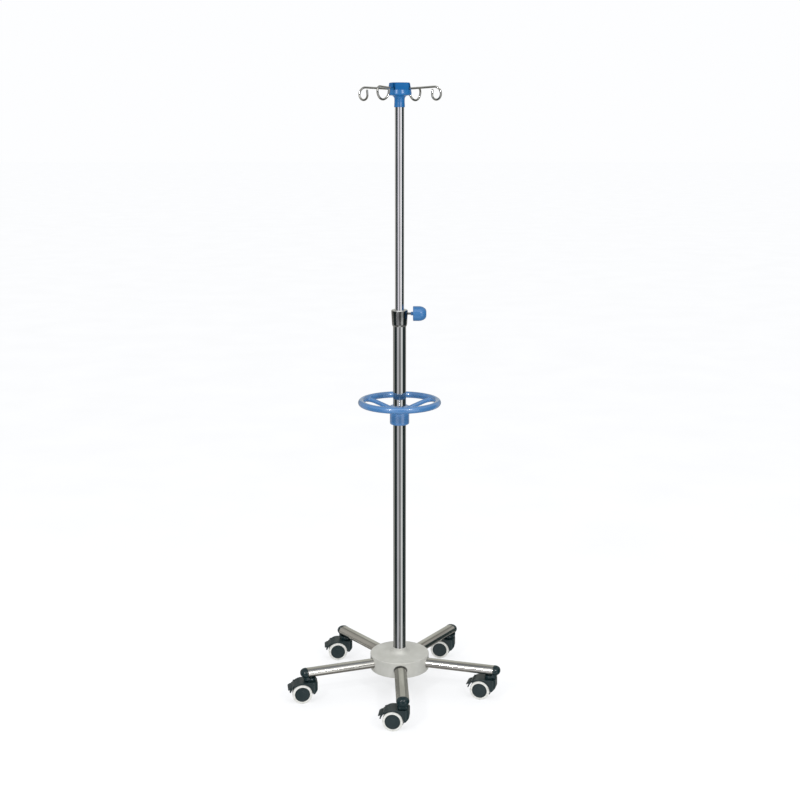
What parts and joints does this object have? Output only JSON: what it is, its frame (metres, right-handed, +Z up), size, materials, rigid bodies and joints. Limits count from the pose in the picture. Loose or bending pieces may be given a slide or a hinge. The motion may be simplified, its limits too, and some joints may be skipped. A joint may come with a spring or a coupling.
{
  "type": "wheeled infusion stand",
  "caption": "Height-adjustable infusion stand: wheeled star base with braked castors, telescopic mast with clamp knob, hand ring and hook head for bags.",
  "frame": {"origin": "on the floor, under the middle of the stand's box; the mast axis is at x = 14.8 mm, y = 20 mm", "axes": "+Z up along the mast, +X towards the clamp knob, -Y towards the leg that points at the user"},
  "size_m": [0.5388, 0.4891, 1.5204],
  "materials": {
    "brushed_cover": "fine brushed",
    "cast_core": "as cast, machined sockets",
    "stainless": "polished stainless tube and wire",
    "chrome": "bright",
    "steel_hardware": "zinc plated",
    "blue_moulding": "satin gloss",
    "blue_head": "gloss",
    "white_bush": "natural acetal",
    "pale_tyre": "soft non-marking, matt",
    "black_plastic": "fine textured"
  },
  "bodies": {
    "base": {"base_cover": "brushed_cover", "base_core": "cast_core", "leg_1": "stainless", "leg_2": "stainless", "leg_3": "stainless", "leg_4": "stainless", "leg_5": "stainless", "leg_cap_1": "black_plastic", "leg_cap_2": "black_plastic", "leg_cap_3": "black_plastic", "leg_cap_4": "black_plastic", "leg_cap_5": "black_plastic", "lower_tube": "stainless", "clamp_collar": "chrome", "hand_ring": "blue_moulding"},
    "slide_bush": {"slide_bush": "white_bush"},
    "mast": {"upper_tube": "stainless", "head_body": "blue_head", "head_cap": "blue_head", "hook_1": "stainless", "hook_2": "stainless", "hook_3": "stainless", "hook_4": "stainless"},
    "clamp_screw": {"clamp_screw": "steel_hardware"},
    "clamp_knob": {"clamp_knob": "blue_moulding"},
    "castor_1": {"castor_housing_1": "black_plastic", "castor_axle_1": "steel_hardware"},
    "wheel_1a": {"wheel_disc_1a": "black_plastic", "tyre_1a": "pale_tyre"},
    "wheel_1b": {"wheel_disc_1b": "black_plastic", "tyre_1b": "pale_tyre"},
    "brake_lever_1": {"brake_lever_1": "black_plastic"},
    "castor_2": {"castor_housing_2": "black_plastic", "castor_axle_2": "steel_hardware"},
    "wheel_2a": {"wheel_disc_2a": "black_plastic", "tyre_2a": "pale_tyre"},
    "wheel_2b": {"wheel_disc_2b": "black_plastic", "tyre_2b": "pale_tyre"},
    "brake_lever_2": {"brake_lever_2": "black_plastic"},
    "castor_3": {"castor_housing_3": "black_plastic", "castor_axle_3": "steel_hardware"},
    "wheel_3a": {"wheel_disc_3a": "black_plastic", "tyre_3a": "pale_tyre"},
    "wheel_3b": {"wheel_disc_3b": "black_plastic", "tyre_3b": "pale_tyre"},
    "brake_lever_3": {"brake_lever_3": "black_plastic"},
    "castor_4": {"castor_housing_4": "black_plastic", "castor_axle_4": "steel_hardware"},
    "wheel_4a": {"wheel_disc_4a": "black_plastic", "tyre_4a": "pale_tyre"},
    "wheel_4b": {"wheel_disc_4b": "black_plastic", "tyre_4b": "pale_tyre"},
    "brake_lever_4": {"brake_lever_4": "black_plastic"},
    "castor_5": {"castor_housing_5": "black_plastic", "castor_axle_5": "steel_hardware"},
    "wheel_5a": {"wheel_disc_5a": "black_plastic", "tyre_5a": "pale_tyre"},
    "wheel_5b": {"wheel_disc_5b": "black_plastic", "tyre_5b": "pale_tyre"},
    "brake_lever_5": {"brake_lever_5": "black_plastic"}
  },
  "joints": [
    {"name": "mast_slide", "type": "slide", "parent": "base", "child": "slide_bush", "axis": [0, 0, 1], "range_m": [-0.475, 0.26]},
    {"name": "mast_turn", "type": "hinge", "parent": "slide_bush", "child": "mast", "pos_m": [0.0148, 0.02, 0.62], "axis": [0, 0, 1], "continuous": true},
    {"name": "clamp_screw_travel", "type": "slide", "parent": "base", "child": "clamp_screw", "axis": [1, 0, 0], "range_m": [0, 0.002]},
    {"name": "clamp_knob_turn", "type": "hinge", "parent": "clamp_screw", "child": "clamp_knob", "pos_m": [0.0448, 0.02, 0.9738], "axis": [1, 0, 0], "range_deg": [0, 722]},
    {"name": "castor_1_swivel", "type": "hinge", "parent": "base", "child": "castor_1", "pos_m": [0.02228, -0.21788, 0.0559], "axis": [0, 0, 1], "continuous": true},
    {"name": "wheel_1a_spin", "type": "hinge", "parent": "castor_1", "child": "wheel_1a", "pos_m": [-0.0001, -0.21553, 0.025], "axis": [0.1045, 0.9945, 0], "continuous": true},
    {"name": "wheel_1b_spin", "type": "hinge", "parent": "castor_1", "child": "wheel_1b", "pos_m": [-0.0001, -0.21553, 0.025], "axis": [0.1045, 0.9945, 0], "continuous": true},
    {"name": "brake_1_press", "type": "hinge", "parent": "castor_1", "child": "brake_lever_1", "pos_m": [-0.01933, -0.21351, 0.04648], "axis": [-0.1045, -0.9945, 0], "range_deg": [0, 10]},
    {"name": "castor_2_swivel", "type": "hinge", "parent": "base", "child": "castor_2", "pos_m": [0.24335, -0.0464, 0.0559], "axis": [0, 0, 1], "continuous": true},
    {"name": "wheel_2a_spin", "type": "hinge", "parent": "castor_2", "child": "wheel_2a", "pos_m": [0.22162, -0.04058, 0.025], "axis": [0.2588, 0.9659, 0], "continuous": true},
    {"name": "wheel_2b_spin", "type": "hinge", "parent": "castor_2", "child": "wheel_2b", "pos_m": [0.22162, -0.04058, 0.025], "axis": [0.2588, 0.9659, 0], "continuous": true},
    {"name": "brake_2_press", "type": "hinge", "parent": "castor_2", "child": "brake_lever_2", "pos_m": [0.20294, -0.03557, 0.04648], "axis": [-0.2588, -0.9659, 0], "range_deg": [0, 10]},
    {"name": "castor_3_swivel", "type": "hinge", "parent": "base", "child": "castor_3", "pos_m": [0.14858, 0.21685, 0.0559], "axis": [0, 0, 1], "continuous": true},
    {"name": "wheel_3a_spin", "type": "hinge", "parent": "castor_3", "child": "wheel_3a", "pos_m": [0.12629, 0.21998, 0.025], "axis": [0.1392, 0.9903, 0], "continuous": true},
    {"name": "wheel_3b_spin", "type": "hinge", "parent": "castor_3", "child": "wheel_3b", "pos_m": [0.12629, 0.21998, 0.025], "axis": [0.1392, 0.9903, 0], "continuous": true},
    {"name": "brake_3_press", "type": "hinge", "parent": "castor_3", "child": "brake_lever_3", "pos_m": [0.10715, 0.22267, 0.04648], "axis": [-0.1392, -0.9903, 0], "range_deg": [0, 10]},
    {"name": "castor_4_swivel", "type": "hinge", "parent": "base", "child": "castor_4", "pos_m": [-0.13107, 0.20806, 0.0559], "axis": [0, 0, 1], "continuous": true},
    {"name": "wheel_4a_spin", "type": "hinge", "parent": "castor_4", "child": "wheel_4a", "pos_m": [-0.15352, 0.20649, 0.025], "axis": [-0.0698, 0.9976, 0], "continuous": true},
    {"name": "wheel_4b_spin", "type": "hinge", "parent": "castor_4", "child": "wheel_4b", "pos_m": [-0.15352, 0.20649, 0.025], "axis": [-0.0698, 0.9976, 0], "continuous": true},
    {"name": "brake_4_press", "type": "hinge", "parent": "castor_4", "child": "brake_lever_4", "pos_m": [-0.17281, 0.20514, 0.04648], "axis": [0.0698, -0.9976, 0], "range_deg": [0, 10]},
    {"name": "castor_5_swivel", "type": "hinge", "parent": "base", "child": "castor_5", "pos_m": [-0.20913, -0.06062, 0.0559], "axis": [0, 0, 1], "continuous": true},
    {"name": "wheel_5a_spin", "type": "hinge", "parent": "castor_5", "child": "wheel_5a", "pos_m": [-0.23141, -0.06375, 0.025], "axis": [-0.1392, 0.9903, 0], "continuous": true},
    {"name": "wheel_5b_spin", "type": "hinge", "parent": "castor_5", "child": "wheel_5b", "pos_m": [-0.23141, -0.06375, 0.025], "axis": [-0.1392, 0.9903, 0], "continuous": true},
    {"name": "brake_5_press", "type": "hinge", "parent": "castor_5", "child": "brake_lever_5", "pos_m": [-0.25056, -0.06644, 0.04648], "axis": [0.1392, -0.9903, 0], "range_deg": [0, 10]}
  ],
  "couplings": [
    {"joint": "clamp_knob_turn", "follows": "clamp_screw_travel", "rad_per_m": 6283.2}
  ]
}
